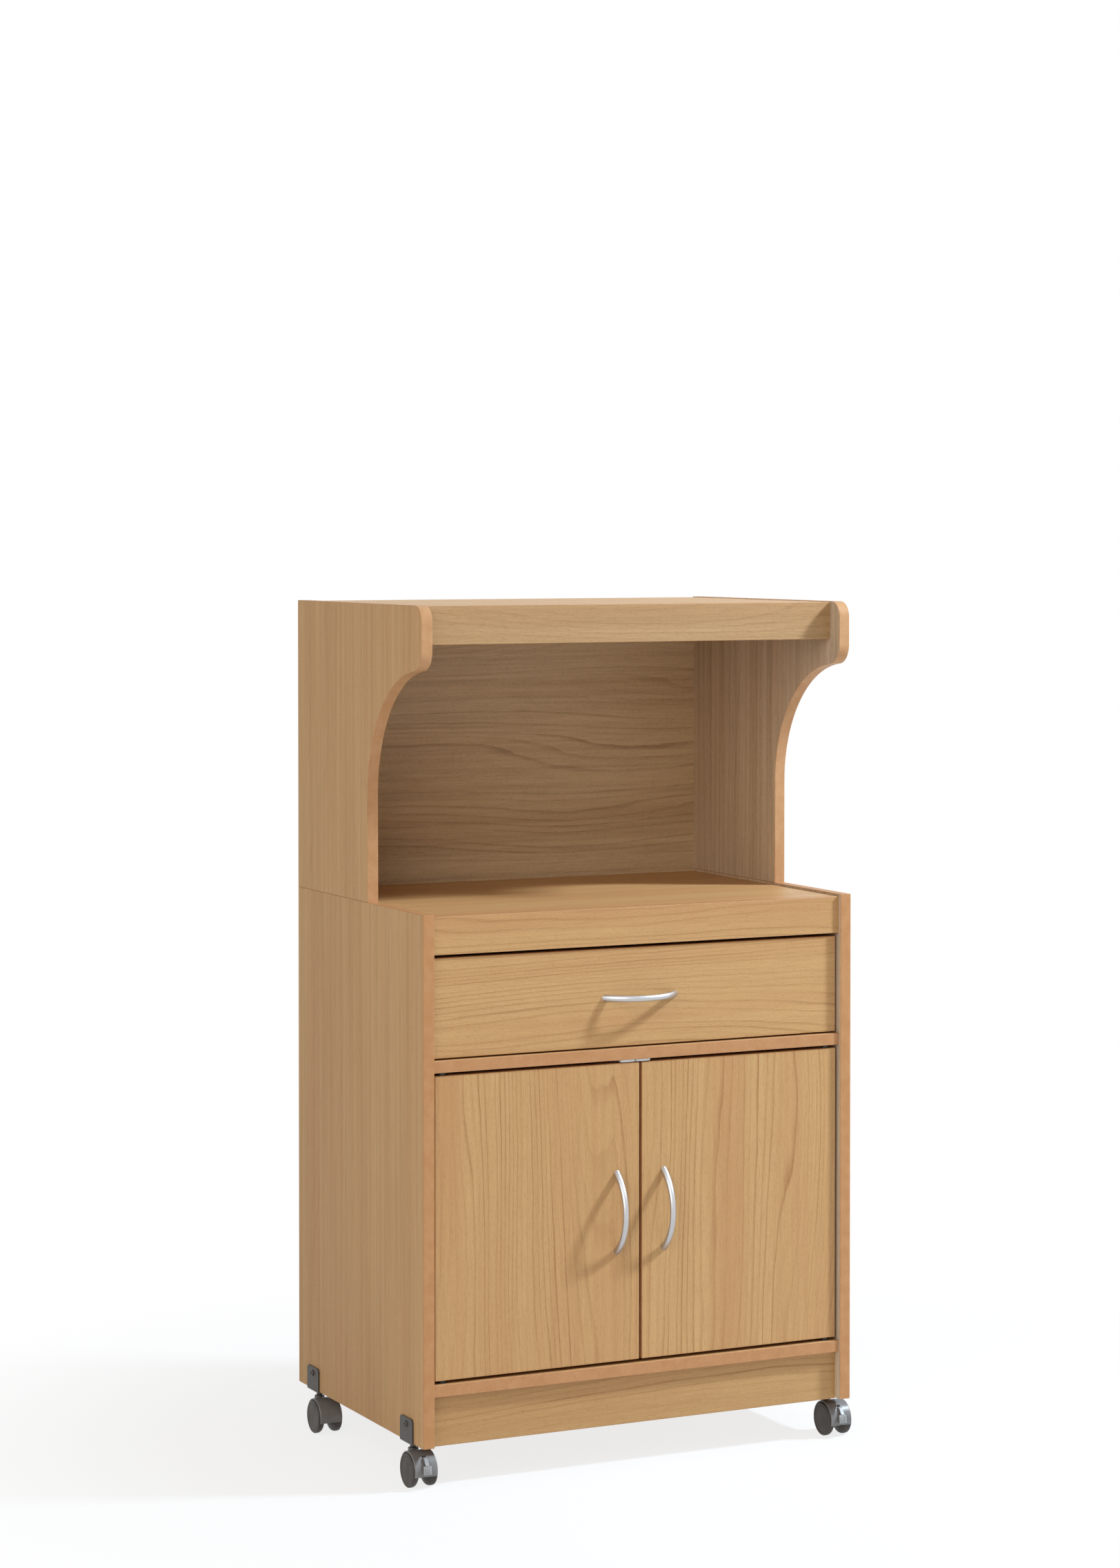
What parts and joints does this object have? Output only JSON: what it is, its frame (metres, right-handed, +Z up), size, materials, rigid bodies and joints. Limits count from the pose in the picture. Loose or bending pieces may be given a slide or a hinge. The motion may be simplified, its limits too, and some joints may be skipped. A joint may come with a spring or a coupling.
{
  "type": "kitchen cart",
  "caption": "Wheeled kitchen cart for a microwave oven: wood-effect cabinet with drawer and doors under an open hutch with swept sides, on swivelling twin-wheel casters.",
  "frame": {"origin": "middle of the footprint, on the floor", "axes": "+Z up, -Y towards the front with the drawer and doors, +X to the right seen from the front"},
  "size_m": [0.618, 0.421, 1.0765],
  "materials": {
    "side_wood": "satin wood-grain foil, upright grain",
    "front_wood": "satin wood-grain foil",
    "inner_wood": "satin wood-grain foil",
    "handle_metal": "satin nickel",
    "zinc_steel": "zinc plated",
    "bracket_steel": "dark grey-brown",
    "light_plastic": "off-white",
    "dark_plastic": "dark brown",
    "caster_plastic": "dark grey",
    "wheel_plastic": "dark grey",
    "brake_plastic": "light grey"
  },
  "bodies": {
    "carcass": {"left_side_panel": "side_wood", "right_side_panel": "side_wood", "left_hutch_side": "side_wood", "right_hutch_side": "side_wood", "hutch_top_panel": "inner_wood", "hutch_fascia": "front_wood", "hutch_back_panel": "inner_wood", "cabinet_back_panel": "inner_wood", "microwave_board": "inner_wood", "top_rail": "front_wood", "drawer_divider": "inner_wood", "bottom_panel": "inner_wood", "kick_plate": "front_wood", "cam_locks": "zinc_steel", "cam_bolts": "zinc_steel", "left_drawer_rail": "light_plastic", "right_drawer_rail": "light_plastic", "door_catch": "light_plastic", "door_pivot_bushes": "dark_plastic", "caster_stems": "bracket_steel", "bracket_screws": "bracket_steel", "front_left_caster_bracket": "bracket_steel", "front_right_caster_bracket": "bracket_steel", "rear_left_caster_bracket": "bracket_steel", "rear_right_caster_bracket": "bracket_steel"},
    "drawer": {"drawer_front": "front_wood", "drawer_left_side": "inner_wood", "drawer_right_side": "inner_wood", "drawer_back": "inner_wood", "drawer_bottom": "inner_wood", "drawer_handle": "handle_metal", "drawer_handle_screws": "zinc_steel"},
    "left_door": {"left_door": "front_wood", "left_door_handle": "handle_metal", "left_handle_screws": "zinc_steel", "left_door_pivots": "dark_plastic", "left_strike_plate": "zinc_steel"},
    "right_door": {"right_door": "front_wood", "right_door_handle": "handle_metal", "right_handle_screws": "zinc_steel", "right_door_pivots": "dark_plastic", "right_strike_plate": "zinc_steel"},
    "front_left_caster": {"front_left_caster_housing": "caster_plastic", "front_left_axle": "zinc_steel"},
    "front_left_left_wheel": {"front_left_left_wheel": "wheel_plastic"},
    "front_left_right_wheel": {"front_left_right_wheel": "wheel_plastic"},
    "front_right_caster": {"front_right_caster_housing": "caster_plastic", "front_right_axle": "zinc_steel"},
    "front_right_left_wheel": {"front_right_left_wheel": "wheel_plastic"},
    "front_right_right_wheel": {"front_right_right_wheel": "wheel_plastic"},
    "rear_left_caster": {"rear_left_caster_housing": "caster_plastic", "rear_left_axle": "zinc_steel"},
    "rear_left_left_wheel": {"rear_left_left_wheel": "wheel_plastic"},
    "rear_left_right_wheel": {"rear_left_right_wheel": "wheel_plastic"},
    "rear_right_caster": {"rear_right_caster_housing": "caster_plastic", "rear_right_axle": "zinc_steel"},
    "rear_right_left_wheel": {"rear_right_left_wheel": "wheel_plastic"},
    "rear_right_right_wheel": {"rear_right_right_wheel": "wheel_plastic"},
    "front_left_brake": {"front_left_brake_lever": "brake_plastic"},
    "front_right_brake": {"front_right_brake_lever": "brake_plastic"}
  },
  "joints": [
    {"name": "drawer_slide", "type": "slide", "parent": "carcass", "child": "drawer", "axis": [0, -1, 0], "range_m": [0, 0.25]},
    {"name": "left_door_hinge", "type": "hinge", "parent": "carcass", "child": "left_door", "pos_m": [-0.2694, -0.1755, 0.31825], "axis": [0, 0, -1], "range_deg": [0, 105]},
    {"name": "right_door_hinge", "type": "hinge", "parent": "carcass", "child": "right_door", "pos_m": [0.2694, -0.1755, 0.31825], "axis": [0, 0, 1], "range_deg": [0, 105]},
    {"name": "front_left_swivel", "type": "hinge", "parent": "carcass", "child": "front_left_caster", "pos_m": [-0.2925, -0.1415, 0.04], "axis": [0, 0, 1], "continuous": true},
    {"name": "front_left_left_wheel_spin", "type": "hinge", "parent": "front_left_caster", "child": "front_left_left_wheel", "pos_m": [-0.2925, -0.1585, 0.021], "axis": [1, 0, 0], "continuous": true},
    {"name": "front_left_right_wheel_spin", "type": "hinge", "parent": "front_left_caster", "child": "front_left_right_wheel", "pos_m": [-0.2925, -0.1585, 0.021], "axis": [1, 0, 0], "continuous": true},
    {"name": "front_left_brake_hinge", "type": "hinge", "parent": "front_left_caster", "child": "front_left_brake", "pos_m": [-0.2925, -0.1695, 0.032], "axis": [-1, 0, 0], "range_deg": [0, 20]},
    {"name": "front_right_swivel", "type": "hinge", "parent": "carcass", "child": "front_right_caster", "pos_m": [0.2925, -0.1415, 0.04], "axis": [0, 0, 1], "continuous": true},
    {"name": "front_right_left_wheel_spin", "type": "hinge", "parent": "front_right_caster", "child": "front_right_left_wheel", "pos_m": [0.2925, -0.1585, 0.021], "axis": [1, 0, 0], "continuous": true},
    {"name": "front_right_right_wheel_spin", "type": "hinge", "parent": "front_right_caster", "child": "front_right_right_wheel", "pos_m": [0.2925, -0.1585, 0.021], "axis": [1, 0, 0], "continuous": true},
    {"name": "front_right_brake_hinge", "type": "hinge", "parent": "front_right_caster", "child": "front_right_brake", "pos_m": [0.2925, -0.1695, 0.032], "axis": [-1, 0, 0], "range_deg": [0, 20]},
    {"name": "rear_left_swivel", "type": "hinge", "parent": "carcass", "child": "rear_left_caster", "pos_m": [-0.2925, 0.1585, 0.04], "axis": [0, 0, 1], "continuous": true},
    {"name": "rear_left_left_wheel_spin", "type": "hinge", "parent": "rear_left_caster", "child": "rear_left_left_wheel", "pos_m": [-0.2925, 0.1415, 0.021], "axis": [1, 0, 0], "continuous": true},
    {"name": "rear_left_right_wheel_spin", "type": "hinge", "parent": "rear_left_caster", "child": "rear_left_right_wheel", "pos_m": [-0.2925, 0.1415, 0.021], "axis": [1, 0, 0], "continuous": true},
    {"name": "rear_right_swivel", "type": "hinge", "parent": "carcass", "child": "rear_right_caster", "pos_m": [0.2925, 0.1585, 0.04], "axis": [0, 0, 1], "continuous": true},
    {"name": "rear_right_left_wheel_spin", "type": "hinge", "parent": "rear_right_caster", "child": "rear_right_left_wheel", "pos_m": [0.2925, 0.1415, 0.021], "axis": [1, 0, 0], "continuous": true},
    {"name": "rear_right_right_wheel_spin", "type": "hinge", "parent": "rear_right_caster", "child": "rear_right_right_wheel", "pos_m": [0.2925, 0.1415, 0.021], "axis": [1, 0, 0], "continuous": true}
  ]
}
